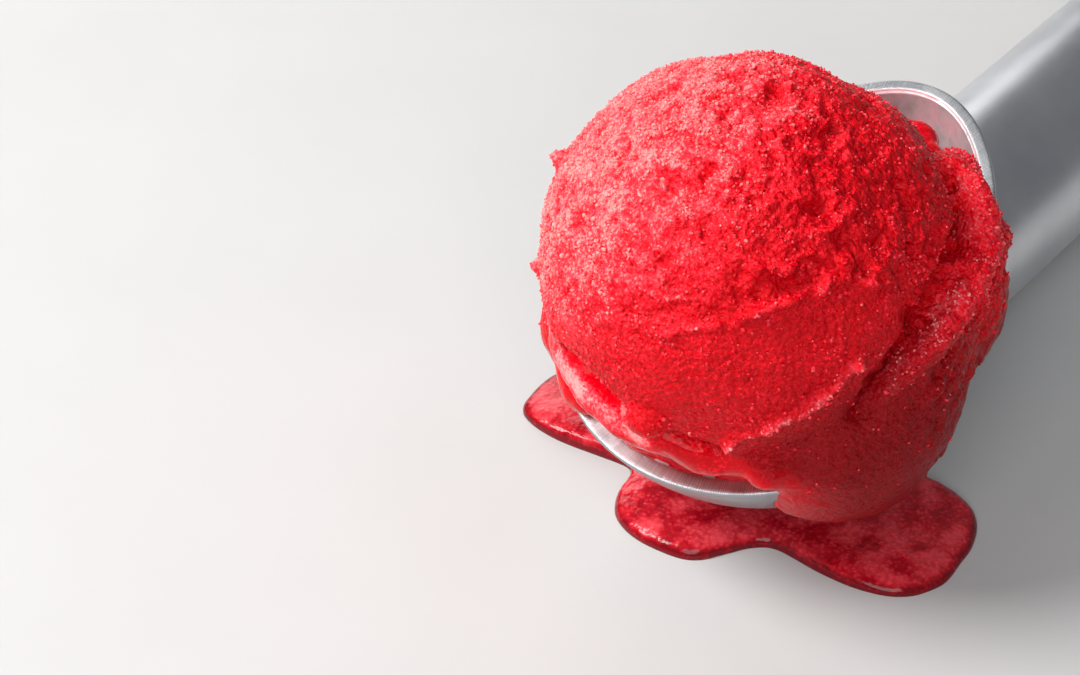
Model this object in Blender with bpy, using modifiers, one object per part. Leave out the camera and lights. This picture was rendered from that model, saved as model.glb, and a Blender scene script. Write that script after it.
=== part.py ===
"""A cast ice cream dipper lying down with a ball of red sorbet in its bowl and a melted puddle.

The dipper lies along X with its handle at +X and its bowl at -X. Everything stands on Z = 0.
The shapes are laid out from the middle of the bowl's rim, and an empty then moves them so that
the world's origin is the middle of the object's base. Sizes are in metres.
"""

import math

import bmesh
import bpy
from mathutils import Matrix, Vector

# Bowl: an egg-shaped rim, narrower toward the handle, that rises toward the handle.
RIM_HALF_LENGTH = 0.0362
RIM_HALF_WIDTH = 0.0261
RIM_NARROWING = 0.21
RIM_TILT = math.radians(19.9)
RIM_HEIGHT = 0.0320
BOWL_DEPTH = 0.0326
BOWL_FULLNESS = 0.8
WALL = 0.0026
RIM_ROUNDING = 0.0005
BOWL_SEGMENTS = 48
BOWL_RINGS = 24

# Handle: a thick round bar that drops slightly toward its rounded end.
HANDLE_RADIUS = 0.0140
HANDLE_END = 0.1450
HANDLE_DROP = math.radians(1.0)
HANDLE_START = 0.0040
HANDLE_ROOT = 0.0300
HANDLE_NOSE = 0.0110
HANDLE_AXIS_HEIGHT = 0.0164
HANDLE_STEPS = 40
END_STEPS = 8

# Sorbet: the ball, what overflows beside the bowl, and what fills the bowl below the rim.
BALL_RADIUS = 0.0273
BALL_CENTRE = Vector((-0.0120, 0.0, 0.0409))
OVERFLOW = (
    # name, centre, radii along X, Y and Z
    ("skirt", (-0.0098, -0.0106, 0.0300), (0.0210, 0.0195, 0.0195)),
    ("back_slope", (0.0140, -0.0080, 0.0395), (0.0085, 0.0095, 0.0085)),
    ("spill", (-0.0160, 0.0190, 0.0170), (0.0095, 0.0085, 0.0130)),
)
COLLARS = (
    # name, first and last direction round the rim
    ("right_collar", math.radians(-150), math.radians(-54)),
    ("left_collar", math.radians(98), math.radians(150)),
)
COLLAR_RADIUS = 0.0042
COLLAR_RISE = 0.0014
COLLAR_POINTS = 17
BELLY_RADIUS = 0.0260
BELLY_CENTRE = Vector((-0.0060, 0.0, 0.0240))
FILL_RISE = 0.0012
LUMP_HEIGHT = 0.0004
BALL_SEGMENTS = 44
LUMP_SEGMENTS = 28

# Puddle: one thin pool with a lobe on each side of the bowl and one in front.
PUDDLE_SEGMENTS = 88
PUDDLE_CENTRE = Vector((-0.0080, 0.0030, 0.0))
PUDDLE_HEIGHT = 0.0022
PUDDLE_RADIUS = 0.0145
PUDDLE_LOBES = (
    # direction, extra reach, half-width of the lobe
    (math.radians(91), 0.0195, math.radians(20)),
    (math.radians(172), 0.0045, math.radians(36)),
    (math.radians(277), 0.0200, math.radians(33)),
)

GAP = 0.0003
MERGE = 0.0001


def clear_scene():
    for item in list(bpy.data.objects):
        bpy.data.objects.remove(item, do_unlink=True)


def new_collection(name, helper=False):
    collection = bpy.data.collections.new(name)
    bpy.context.scene.collection.children.link(collection)
    collection.hide_render = helper
    return collection


def new_material(name, colour, roughness, metallic=0.0):
    material = bpy.data.materials.new(name)
    material.use_nodes = True
    material.diffuse_color = (*colour, 1.0)
    shader = material.node_tree.nodes["Principled BSDF"]
    shader.inputs["Base Color"].default_value = (*colour, 1.0)
    shader.inputs["Roughness"].default_value = roughness
    shader.inputs["Metallic"].default_value = metallic
    return material


def add_object(name, bm, collection, helper=False):
    """Makes an object from a bmesh, whose faces are turned outward first if it is closed."""
    if all(edge.is_manifold for edge in bm.edges):
        bmesh.ops.recalc_face_normals(bm, faces=bm.faces)
    mesh = bpy.data.meshes.new(name)
    bm.to_mesh(mesh)
    bm.free()
    mesh.shade_smooth()
    mesh.set_sharp_from_angle(angle=math.radians(35))
    item = bpy.data.objects.new(name, mesh)
    collection.objects.link(item)
    if helper:
        item.hide_render = True
        item.display_type = "WIRE"
    return item


def boolean(item, other, operation):
    modifier = item.modifiers.new(operation.title() + " " + other.name, "BOOLEAN")
    modifier.object = other
    modifier.operation = operation
    modifier.solver = "EXACT"


def rim_frame():
    """The matrix of the bowl's own axes: X along the rim to the handle, Z out of the bowl."""
    return Matrix.Translation((0, 0, RIM_HEIGHT)) @ Matrix.Rotation(-RIM_TILT, 4, "Y")


def bowl_point(unit):
    """Places a point of the unit sphere's lower half on the outside of the bowl."""
    across = unit.y * (1 - RIM_NARROWING * unit.x)
    depth = abs(unit.z) ** (2 * BOWL_FULLNESS)
    return Vector((unit.x * RIM_HALF_LENGTH, across * RIM_HALF_WIDTH, -depth * BOWL_DEPTH))


def bowl_surface(inset):
    """The open outer surface of the bowl, moved inward by the inset."""
    bm = bmesh.new()
    bmesh.ops.create_uvsphere(bm, u_segments=BOWL_SEGMENTS, v_segments=BOWL_RINGS, radius=1)
    upper = [vert for vert in bm.verts if vert.co.z > 1e-4]
    bmesh.ops.delete(bm, geom=upper, context="VERTS")
    for vert in bm.verts:
        on_rim = abs(vert.co.z) < 1e-4
        vert.co = bowl_point(vert.co)
        if on_rim:
            vert.co.z = 0.0
    bm.normal_update()
    moves = [(vert, -inset * vert.normal) for vert in bm.verts]
    for vert, move in moves:
        if vert.is_boundary:
            move.z = 0.0
        vert.co += move
    return bm


def bowl_solid(name, inset, lift, collection, helper=True):
    """A closed plug of the bowl's shape, whose flat top may be lifted above the rim."""
    bm = bowl_surface(inset)
    edge = [side for side in bm.edges if side.is_boundary]
    if lift > 0:
        raised = bmesh.ops.extrude_edge_only(bm, edges=edge)["geom"]
        top = [part for part in raised if isinstance(part, bmesh.types.BMVert)]
        bmesh.ops.translate(bm, verts=top, vec=(0, 0, lift))
        edge = [side for side in bm.edges if side.is_boundary]
    bmesh.ops.contextual_create(bm, geom=edge)
    item = add_object(name, bm, collection, helper)
    item.matrix_world = rim_frame()
    return item


def lumpy_ball(name, centre, radii, segments, collection, helper=False):
    """A slightly uneven ball or ellipsoid."""
    bm = bmesh.new()
    bmesh.ops.create_uvsphere(bm, u_segments=segments, v_segments=segments // 2, radius=1)
    for vert in bm.verts:
        direction = vert.co.copy()
        wave = (
            math.sin(5 * direction.x + 1.3)
            + math.sin(6 * direction.y + 4 * direction.z)
            + math.sin(7 * direction.z - 3 * direction.x)
        )
        size = [radius + LUMP_HEIGHT * wave / 3 for radius in radii]
        vert.co = Vector(part * reach for part, reach in zip(direction, size))
    item = add_object(name, bm, collection, helper)
    item.location = centre
    return item


def collar_tube(name, first, last, collection):
    """A fat bead laid along part of the rim, thinner toward its ends."""
    curve = bpy.data.curves.new(name, "CURVE")
    curve.dimensions = "3D"
    curve.bevel_depth = COLLAR_RADIUS
    curve.bevel_resolution = 3
    curve.use_fill_caps = True
    spline = curve.splines.new("POLY")
    spline.points.add(COLLAR_POINTS - 1)
    for index, point in enumerate(spline.points):
        share = index / (COLLAR_POINTS - 1)
        turn = first + (last - first) * share
        place = bowl_point(Vector((math.cos(turn), math.sin(turn), 0)))
        place -= WALL * place.normalized()
        point.co = (place.x, place.y, COLLAR_RISE, 1)
        point.radius = math.sqrt(1 - 0.85 * abs(2 * share - 1) ** 4)
    tube = bpy.data.objects.new(name, curve)
    collection.objects.link(tube)
    bpy.context.view_layer.update()
    evaluated = tube.evaluated_get(bpy.context.evaluated_depsgraph_get())
    mesh = bpy.data.meshes.new_from_object(evaluated)
    bpy.data.objects.remove(tube)
    bm = bmesh.new()
    bm.from_mesh(mesh)
    bpy.data.meshes.remove(mesh)
    bmesh.ops.remove_doubles(bm, verts=bm.verts, dist=MERGE / 10)
    item = add_object(name, bm, collection, helper=True)
    item.matrix_world = rim_frame()
    return item


def box(name, centre, size, collection):
    bm = bmesh.new()
    bmesh.ops.create_cube(bm, size=1, matrix=Matrix.Diagonal((*size, 1)))
    item = add_object(name, bm, collection, helper=True)
    item.location = centre
    return item


def handle_profile(growth):
    """The handle's outline from its nose to its root, as (radius, distance from the start)."""
    radius = HANDLE_RADIUS + growth
    nose_centre = HANDLE_END - HANDLE_START - HANDLE_NOSE
    turns = [math.radians(90) * step / END_STEPS for step in range(END_STEPS + 1)]
    nose = [
        (radius * math.sin(turn), nose_centre + (HANDLE_NOSE + growth) * math.cos(turn))
        for turn in turns
    ]
    root = [
        (radius * math.cos(turn), HANDLE_ROOT - (HANDLE_ROOT + growth) * math.sin(turn))
        for turn in turns
    ]
    return nose + root


def add_handle(name, growth, collection):
    """The turned handle, or with some growth the room that it takes."""
    bm = bmesh.new()
    verts = [bm.verts.new((radius, 0, along)) for radius, along in handle_profile(growth)]
    for first, second in zip(verts, verts[1:]):
        bm.edges.new((first, second))
    item = add_object(name, bm, collection, helper=True)
    screw = item.modifiers.new("Turn", "SCREW")
    screw.axis = "Z"
    screw.angle = math.radians(360)
    screw.steps = HANDLE_STEPS
    screw.render_steps = HANDLE_STEPS
    screw.use_merge_vertices = True
    screw.merge_threshold = MERGE
    start_height = HANDLE_AXIS_HEIGHT - HANDLE_START * math.tan(HANDLE_DROP)
    item.location = (HANDLE_START, 0, start_height)
    item.rotation_euler = (0, math.radians(90) + HANDLE_DROP, 0)
    return item


def build_dipper(parts, helpers, table):
    """One casting: a hollowed bowl joined to the turned handle."""
    dipper = bowl_solid("dipper", 0.0, 0.0, parts, helper=False)
    cavity = bowl_solid("cavity", WALL, WALL, helpers)
    boolean(dipper, cavity, "DIFFERENCE")
    rounding = dipper.modifiers.new("Rim rounding", "BEVEL")
    rounding.width = RIM_ROUNDING
    rounding.segments = 2
    rounding.limit_method = "ANGLE"
    rounding.angle_limit = math.radians(50)
    handle = add_handle("handle_bar", 0.0, helpers)
    boolean(handle, bowl_solid("bowl_half_wall", WALL / 2, HANDLE_RADIUS, helpers), "DIFFERENCE")
    boolean(dipper, handle, "UNION")
    boolean(dipper, table, "DIFFERENCE")
    dipper.data.materials.append(new_material("cast_aluminium", (0.62, 0.64, 0.67), 0.35, 1.0))
    return dipper


def build_sorbet(parts, helpers, bowl_room):
    """The ball with its overflow, cut round the bowl, joined to the filling inside the bowl."""
    sorbet = lumpy_ball("sorbet", BALL_CENTRE, [BALL_RADIUS] * 3, BALL_SEGMENTS, parts)
    belly_radii = [BELLY_RADIUS] * 3
    belly = lumpy_ball("belly", BELLY_CENTRE, belly_radii, BALL_SEGMENTS, helpers, helper=True)
    filling = bowl_solid("filling", WALL + GAP, FILL_RISE, helpers)
    boolean(filling, belly, "INTERSECT")
    clearance = PUDDLE_HEIGHT + 2 * GAP
    below = box("below_sorbet", (0, 0, clearance - 0.05), (0.2, 0.2, 0.1), helpers)
    for name, centre, radii in OVERFLOW:
        lump = lumpy_ball(name, centre, radii, LUMP_SEGMENTS, helpers, helper=True)
        boolean(sorbet, lump, "UNION")
    for name, first, last in COLLARS:
        boolean(sorbet, collar_tube(name, first, last, helpers), "UNION")
    boolean(sorbet, bowl_room, "DIFFERENCE")
    boolean(sorbet, add_handle("handle_room", GAP, helpers), "DIFFERENCE")
    boolean(sorbet, below, "DIFFERENCE")
    boolean(sorbet, filling, "UNION")
    sorbet.data.materials.append(new_material("red_sorbet", (0.60, 0.02, 0.05), 0.45))
    return sorbet


def puddle_reach(angle):
    """How far the puddle reaches in one direction: a round pool plus its lobes."""
    reach = PUDDLE_RADIUS
    for direction, extra, width in PUDDLE_LOBES:
        apart = math.remainder(angle - direction, 2 * math.pi)
        reach += extra * math.exp(-((apart / width) ** 4))
    return reach


def build_puddle(parts, bowl_room):
    """A thin pool with a rounded edge and a flat underside, cut round the bowl."""
    bm = bmesh.new()
    bmesh.ops.create_uvsphere(bm, u_segments=PUDDLE_SEGMENTS, v_segments=16, radius=1)
    lower = [vert for vert in bm.verts if vert.co.z < -1e-4]
    bmesh.ops.delete(bm, geom=lower, context="VERTS")
    for vert in bm.verts:
        height = PUDDLE_HEIGHT * max(vert.co.z, 0.0) ** 0.7
        if abs(vert.co.z) < 1e-4:
            height = 0.0
        spread = vert.co.xy * puddle_reach(math.atan2(vert.co.y, vert.co.x))
        vert.co = Vector((*spread, height))
    bmesh.ops.contextual_create(bm, geom=[side for side in bm.edges if side.is_boundary])
    puddle = add_object("melt_puddle", bm, parts)
    puddle.location = PUDDLE_CENTRE
    boolean(puddle, bowl_room, "DIFFERENCE")
    puddle.data.materials.append(new_material("melted_sorbet", (0.35, 0.01, 0.02), 0.15))
    return puddle


def middle_of_base():
    """The middle of the object's base, between its ends along X and across Y."""
    angles = [math.radians(step) for step in range(360)]
    spread = [PUDDLE_CENTRE.y + puddle_reach(angle) * math.sin(angle) for angle in angles]
    front = BALL_CENTRE.x - BALL_RADIUS
    return Vector(((front + HANDLE_END) / 2, (min(spread) + max(spread)) / 2, 0))


def main():
    clear_scene()
    parts = new_collection("sorbet_dipper")
    helpers = new_collection("cutters", helper=True)
    table = box("table", (0, 0, -0.05), (0.4, 0.4, 0.1), helpers)
    bowl_room = bowl_solid("bowl_room", -GAP, GAP, helpers)
    build_dipper(parts, helpers, table)
    build_sorbet(parts, helpers, bowl_room)
    build_puddle(parts, bowl_room)
    base = bpy.data.objects.new("base", None)
    parts.objects.link(base)
    base.location = -middle_of_base()
    for item in list(parts.objects) + list(helpers.objects):
        if item is not base:
            item.parent = base


main()
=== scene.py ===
"""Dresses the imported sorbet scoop: a cast dipper, its granular red sorbet and the melted pool."""

import math

import bmesh
import bpy
import numpy as np
from bpy.props import FloatProperty, FloatVectorProperty, IntProperty, PointerProperty
from mathutils import Matrix, Vector, noise


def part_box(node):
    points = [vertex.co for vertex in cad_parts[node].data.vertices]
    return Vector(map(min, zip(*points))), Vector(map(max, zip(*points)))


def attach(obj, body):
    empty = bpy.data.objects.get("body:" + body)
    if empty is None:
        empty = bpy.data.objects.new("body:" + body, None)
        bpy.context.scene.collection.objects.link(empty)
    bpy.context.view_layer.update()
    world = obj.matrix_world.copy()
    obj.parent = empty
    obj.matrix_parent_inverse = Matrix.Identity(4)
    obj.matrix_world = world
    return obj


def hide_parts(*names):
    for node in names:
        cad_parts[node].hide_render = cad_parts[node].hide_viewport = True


bl_info = {
    "name": "Sorbet Scoop",
    "version": (1, 0, 0),
    "blender": (4, 5, 0),
    "location": "3D View > Sidebar > Sorbet Scoop",
    "description": "Builds a cast ice cream dipper with a ball of red sorbet and a melted pool",
    "category": "Object",
}

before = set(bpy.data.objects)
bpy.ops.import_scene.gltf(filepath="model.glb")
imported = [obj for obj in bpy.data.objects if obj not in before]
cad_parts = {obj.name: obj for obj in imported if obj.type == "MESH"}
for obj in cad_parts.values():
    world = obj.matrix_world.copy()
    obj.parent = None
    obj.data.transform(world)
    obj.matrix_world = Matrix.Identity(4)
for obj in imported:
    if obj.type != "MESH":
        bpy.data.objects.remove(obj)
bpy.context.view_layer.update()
DIPPER_LOW, DIPPER_HIGH = (Vector(corner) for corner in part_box("dipper"))
PUDDLE_HIGH = Vector(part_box("melt_puddle")[1])

# Places worked out from the frame. The bowl's own axes start in the middle of its rim.
BOWL_TO_END = 0.1450
RIM_TILT = math.radians(19.9)
RIM_HEIGHT = 0.0320
HANDLE_START = 0.0040
HANDLE_HEIGHT = 0.0164
BOWL_MIDDLE = Vector((DIPPER_HIGH.x - BOWL_TO_END, (DIPPER_LOW.y + DIPPER_HIGH.y) / 2, RIM_HEIGHT))
TO_BOWL = Matrix.Rotation(-RIM_TILT, 4, "Y")
RIM_AXES = Matrix.Translation(BOWL_MIDDLE) @ TO_BOWL
HANDLE_DROP = math.radians(1.0)
BALL_PLACE = BOWL_MIDDLE + Vector((-0.0120, 0.0, 0.0089))
CAMERA_PLACE = BOWL_MIDDLE + Vector((-0.2804, -0.1662, 0.2386))
CAMERA_AIM = Vector((0.6354, 0.4738, -0.6098))
FLOOR_REACH = 3.0
MOST_TRIANGLES = 199000


# Small tools for meshes and fields


def smoothstep(low, high, value):
    share = np.clip((value - low) / (high - low), 0.0, 1.0)
    return share * share * (3 - 2 * share)


def unit(vectors):
    return vectors / np.maximum(np.linalg.norm(vectors, axis=-1, keepdims=True), 1e-12)


def full_turn(steps):
    """Evenly spaced angles round a circle."""
    return np.linspace(0, 2 * math.pi, steps, endpoint=False)


def circle(turns):
    """Points at these angles on a flat circle of radius 1."""
    return np.stack([np.cos(turns), np.sin(turns), 0 * turns], -1)


def bell(gap, width, power=2):
    """1 where the gap is 0, and less the wider it is."""
    return np.exp(-((gap / width) ** power))


def noise_at(places, size, seed):
    """Smooth noise from -1 to 1 whose lumps are about as wide as the size."""
    shift = Vector((17.3 * seed, 5.1 * seed, 9.7 * seed))
    scaled = places / size
    return np.array([noise.noise(Vector(place) + shift) for place in scaled])


def cells_at(places, size, seed):
    """The distance from each place to the nearest of scattered points, in sizes."""
    shift = Vector((3.7 * seed, 11.9 * seed, 7.3 * seed))
    scaled = places / size
    return np.array([noise.voronoi(Vector(place) + shift)[0][0] for place in scaled])


def catmull(points, steps):
    """A smooth run through the points."""
    points = np.asarray(points, float)
    ends = np.vstack([2 * points[0] - points[1], points, 2 * points[-1] - points[-2]])
    share = np.linspace(0, 1, steps, endpoint=False)[:, None]
    runs = []
    for a, b, c, d in zip(ends, ends[1:], ends[2:], ends[3:]):
        cubic = -a + 3 * b - 3 * c + d
        square = 2 * a - 5 * b + 4 * c - d
        runs.append(0.5 * (cubic * share**3 + square * share**2 + (c - a) * share + 2 * b))
    return np.vstack(runs + [points[-1:]])


def distance_to_path(places, path):
    """How far each place is from a line of points, and how far along the line (0 to 1)."""
    best = np.full(len(places), np.inf)
    along = np.zeros(len(places))
    for index, (start, end) in enumerate(zip(path, path[1:])):
        run = end - start
        share = np.clip((places - start) @ run / max(run @ run, 1e-12), 0, 1)
        gap = np.linalg.norm(places - start - share[:, None] * run, axis=1)
        closer = gap < best
        best[closer] = gap[closer]
        along[closer] = ((index + share) / (len(path) - 1))[closer]
    return best, along


def loft(rings, close_start=True, close_end=True):
    """Vertices and faces of a skin over rings of equally many points, with closed ends."""
    rings = [np.asarray(ring, float) for ring in rings]
    count = len(rings[0])
    places = list(np.vstack(rings))
    faces = []
    for row in range(len(rings) - 1):
        for step in range(count):
            after = (step + 1) % count
            low, high = row * count, (row + 1) * count
            faces.append((low + step, low + after, high + after, high + step))
    if close_start:
        places.append(rings[0].mean(axis=0))
        hub = len(places) - 1
        faces += [(hub, (step + 1) % count, step) for step in range(count)]
    if close_end:
        places.append(rings[-1].mean(axis=0))
        hub = len(places) - 1
        last = (len(rings) - 1) * count
        faces += [(hub, last + step, last + (step + 1) % count) for step in range(count)]
    return np.array(places), faces


def join(parts):
    """Joins (places, faces) parts into one."""
    places, faces, start = [], [], 0
    for part_places, part_faces in parts:
        places.append(part_places)
        faces += [tuple(corner + start for corner in face) for face in part_faces]
        start += len(part_places)
    return np.vstack(places), faces


def ellipsoid(centre, radii, steps=64):
    """A closed ellipsoid as rings from its foot to its top."""
    rings = []
    for rise in np.linspace(-math.pi / 2, math.pi / 2, steps // 2 + 1)[1:-1]:
        across = circle(full_turn(steps)) * math.cos(rise)
        across[:, 2] = math.sin(rise)
        rings.append(across * np.asarray(radii) + np.asarray(centre))
    return loft(rings)


def tube(path, radii, sides=20):
    """A closed round tube along a path."""
    ahead = unit(np.gradient(path, axis=0))
    side = unit(np.cross(ahead, (0.0, 0.0, 1.0)))
    above = np.cross(side, ahead)
    turns = full_turn(sides)[:, None]
    rings = []
    for place, across, up, radius in zip(path, side, above, radii):
        rings.append(place + radius * (np.cos(turns) * across + np.sin(turns) * up))
    return loft(rings)


def new_piece(name, places, faces, smooth=True):
    mesh = bpy.data.meshes.new(name)
    mesh.from_pydata([tuple(place) for place in places], [], faces)
    mesh.validate()
    if smooth:
        mesh.shade_smooth()
    piece = bpy.data.objects.new(name, mesh)
    bpy.context.scene.collection.objects.link(piece)
    return piece


def read(items, key, width, kind=float):
    """One row of numbers for each of a mesh's items."""
    values = np.empty(len(items) * width, kind)
    items.foreach_get(key, values)
    return values.reshape(-1, width)


def mesh_places(mesh):
    return read(mesh.vertices, "co", 3)


def mesh_normals(mesh):
    return read(mesh.vertex_normals, "vector", 3)


def mesh_edges(mesh):
    return read(mesh.edges, "vertices", 2, np.int32)


def move_mesh(mesh, places):
    mesh.vertices.foreach_set("co", places.ravel())
    mesh.update()


def relax(places, edges, rounds, strength=0.5):
    """Smooths a mesh by drawing each vertex toward its neighbours."""
    count = np.bincount(edges.ravel(), minlength=len(places))[:, None]
    for _ in range(rounds):
        total = np.empty_like(places)
        for axis in range(3):
            values = places[:, axis]
            first = np.bincount(edges[:, 0], values[edges[:, 1]], len(places))
            second = np.bincount(edges[:, 1], values[edges[:, 0]], len(places))
            total[:, axis] = first + second
        places = places + strength * (total / count - places)
    return places


def store(mesh, name, values):
    """Keeps a value for each vertex, which the materials read."""
    attribute = mesh.attributes.new(name, "FLOAT", "POINT")
    attribute.data.foreach_set("value", np.asarray(values, np.float32))


def stored(mesh, name):
    return read(mesh.attributes[name].data, "value", 1, np.float32)[:, 0]


def remesh(piece, voxel):
    """Fuses a piece's overlapping shells into one even skin, and gives the piece back."""
    modifier = piece.modifiers.new("Fuse", "REMESH")
    modifier.mode = "VOXEL"
    modifier.voxel_size = voxel
    modifier.use_smooth_shade = True
    bpy.context.view_layer.update()
    fused = bpy.data.meshes.new_from_object(
        piece.evaluated_get(bpy.context.evaluated_depsgraph_get())
    )
    piece.modifiers.clear()
    old = piece.data
    piece.data = fused
    bpy.data.meshes.remove(old)
    return piece


def triangle_count(piece):
    return sum(len(face.vertices) - 2 for face in piece.data.polygons)


# Node materials


class Nodes:
    """A short way to write a node tree."""

    def __init__(self, name):
        self.material = bpy.data.materials.new(name)
        self.material.use_nodes = True
        self.tree = self.material.node_tree
        self.shader = self.tree.nodes["Principled BSDF"]

    def add(self, kind, inputs=None, **settings):
        node = self.tree.nodes.new(kind)
        for key, value in settings.items():
            setattr(node, key, value)
        for key, value in (inputs or {}).items():
            if isinstance(value, bpy.types.NodeSocket):
                self.tree.links.new(value, node.inputs[key])
            else:
                node.inputs[key].default_value = value
        return node

    def math(self, operation, first, second=0.0, clamp=False):
        node = self.add("ShaderNodeMath", {0: first, 1: second}, operation=operation)
        node.use_clamp = clamp
        return node.outputs[0]

    def place(self):
        return self.add("ShaderNodeTexCoord").outputs["Object"]

    def value(self, name):
        return self.add("ShaderNodeAttribute", attribute_name=name).outputs["Fac"]

    def noise(self, vector, scale, detail=2.0, roughness=0.5):
        inputs = {"Vector": vector, "Scale": scale, "Detail": detail, "Roughness": roughness}
        return self.add("ShaderNodeTexNoise", inputs).outputs["Fac"]

    def ramp(self, factor, stops):
        node = self.add("ShaderNodeValToRGB", {"Fac": factor})
        elements = node.color_ramp.elements
        while len(elements) < len(stops):
            elements.new(0.5)
        for element, (position, colour) in zip(elements, stops):
            element.position = position
            element.color = (*colour, 1.0)
        return node.outputs["Color"]

    def mix(self, factor, first, second):
        node = self.add("ShaderNodeMix", data_type="RGBA")
        for socket, value in ((0, factor), (6, first), (7, second)):
            if isinstance(value, bpy.types.NodeSocket):
                self.tree.links.new(value, node.inputs[socket])
            elif socket == 0:
                node.inputs[socket].default_value = value
            else:
                node.inputs[socket].default_value = (*value, 1.0)
        return node.outputs[2]

    def range(self, value, low, high, to_low, to_high):
        inputs = {"Value": value, 1: low, 2: high, 3: to_low, 4: to_high}
        return self.add("ShaderNodeMapRange", inputs).outputs[0]

    def bump(self, height, strength, distance, normal=None):
        inputs = {"Height": height, "Strength": strength, "Distance": distance}
        if normal is not None:
            inputs["Normal"] = normal
        return self.add("ShaderNodeBump", inputs).outputs["Normal"]

    def set(self, **inputs):
        for key, value in inputs.items():
            socket = self.shader.inputs[key.replace("_", " ")]
            if isinstance(value, bpy.types.NodeSocket):
                self.tree.links.new(value, socket)
            else:
                socket.default_value = value


def cast_metal(settings):
    """Smooth satin aluminium with a faint casting grain and worn, slightly uneven gloss; the bowl's outside
    is darkened by painted shade.
    """
    nodes = Nodes("cast_aluminium_satin")
    place = nodes.place()
    cloud = nodes.noise(place, 28.0, 4.0, 0.6)
    grain = nodes.noise(place, 1500.0, 3.0, 0.6)
    pores = nodes.noise(place, 420.0, 2.0)
    tone = nodes.ramp(cloud, [(0.3, settings.metal_dark), (0.7, settings.metal_light)])
    # Painted shade: the bowl's outside is mixed toward a dark tone, away from the handle.
    tone = nodes.mix(nodes.math("MULTIPLY", nodes.value("darker_tone"), 0.6), tone, settings.bowl_painted_shade)
    smudge = nodes.range(cloud, 0.3, 0.7, settings.metal_gloss - 0.05, settings.metal_gloss + 0.06)
    roughness = nodes.math("ADD", smudge, nodes.range(grain, 0.35, 0.65, -0.02, 0.03))
    normal = nodes.bump(pores, 0.12, 0.00004)
    nodes.set(
        Base_Color=tone,
        Metallic=1.0,
        Roughness=roughness,
        Normal=nodes.bump(grain, 0.2, 0.00002, normal),
    )
    return nodes.material


def ground_metal(settings):
    """The rim's ground face: bright aluminium with fine marks running across the edge."""
    nodes = Nodes("ground_rim")
    centred = nodes.add(
        "ShaderNodeVectorMath",
        {0: nodes.place(), 1: tuple(BOWL_MIDDLE)},
        operation="SUBTRACT",
    )
    turn = nodes.add(
        "ShaderNodeTexGradient", {"Vector": centred.outputs[0]}, gradient_type="RADIAL"
    )
    fine = nodes.add(
        "ShaderNodeTexNoise",
        {"W": nodes.math("MULTIPLY", turn.outputs["Fac"], 420.0), "Detail": 4.0},
        noise_dimensions="1D",
    )
    marks = fine.outputs["Fac"]
    blotch = nodes.noise(nodes.place(), 220.0, 3.0)
    blend = nodes.math("ADD", nodes.math("MULTIPLY", marks, 0.7), nodes.math("MULTIPLY", blotch, 0.3))
    dark = tuple(0.55 * part for part in settings.metal_dark)
    tone = nodes.ramp(blend, [(0.38, dark), (0.60, settings.metal_light)])
    nodes.set(
        Base_Color=tone,
        Metallic=1.0,
        Roughness=nodes.range(marks, 0.3, 0.7, 0.34, 0.52),
        Normal=nodes.bump(marks, 0.5, 0.00010),
    )
    return nodes.material


def filmed_metal(settings):
    """The bowl's inside, dulled by a thin pink film of melted sorbet."""
    nodes = Nodes("filmed_metal")
    place = nodes.place()
    smear = nodes.noise(place, 160.0, 5.0, 0.6)
    streak = nodes.noise(place, 900.0, 2.0)
    tone = nodes.ramp(smear, [(0.40, (0.80, 0.74, 0.75)), (0.66, (0.74, 0.36, 0.40))])
    nodes.set(
        Base_Color=tone,
        Metallic=nodes.range(smear, 0.4, 0.65, 0.75, 0.25),
        Roughness=nodes.range(streak, 0.3, 0.7, 0.30, 0.50),
        Normal=nodes.bump(smear, 0.3, 0.0003),
    )
    return nodes.material


def sorbet_ice(settings):
    """Frozen granular sorbet: deep red in the pits, pale pink on the crumbs with painted sheen toward the
    light, darker toward syrup red where painted shade falls, wet near the rim.
    """
    nodes = Nodes("sorbet_ice")
    place = nodes.place()
    frost_and_sheen = nodes.value("frost_and_sheen")
    wet = nodes.value("wet")
    dry = nodes.math("SUBTRACT", 1.0, wet)
    specks = nodes.noise(place, 2100.0, 3.0, 0.7)
    grains = nodes.add("ShaderNodeTexVoronoi", {"Vector": place, "Scale": 1500.0})
    patches = nodes.noise(place, 260.0, 4.0, 0.65)
    speck_share = nodes.range(specks, 0.40, 0.68, -0.22, 0.32)
    patch_share = nodes.range(patches, 0.35, 0.68, -0.14, 0.12)
    white = nodes.math("ADD", frost_and_sheen, nodes.math("ADD", speck_share, patch_share), clamp=True)
    colour = nodes.ramp(
        white,
        [
            (0.0, settings.sorbet_deep),
            (0.22, settings.sorbet_red),
            (0.55, settings.sorbet_bright),
            (1.0, settings.sorbet_frost_and_sheen),
        ],
    )
    # Painted shade: shaded parts are mixed toward the dark syrup red.
    colour = nodes.mix(nodes.math("MULTIPLY", nodes.value("shade"), 0.85), colour, settings.syrup_and_painted_shade)
    coarse = nodes.bump(nodes.noise(place, 1000.0, 3.0, 0.65), dry, 0.00055)
    cells = nodes.math("MULTIPLY", grains.outputs["Distance"], -1.0)
    fine = nodes.bump(cells, nodes.math("MULTIPLY", dry, 0.8), 0.00034, coarse)
    nodes.set(
        Base_Color=colour,
        Roughness=nodes.range(wet, 0.0, 1.0, 0.38, 0.10),
        IOR=1.33,
        Specular_IOR_Level=0.28,
        Subsurface_Weight=0.18,
        Subsurface_Scale=0.0009,
        Subsurface_Radius=(1.0, 0.10, 0.09),
        Normal=nodes.bump(specks, nodes.math("MULTIPLY", dry, 0.7), 0.00022, fine),
    )
    return nodes.material


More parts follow.
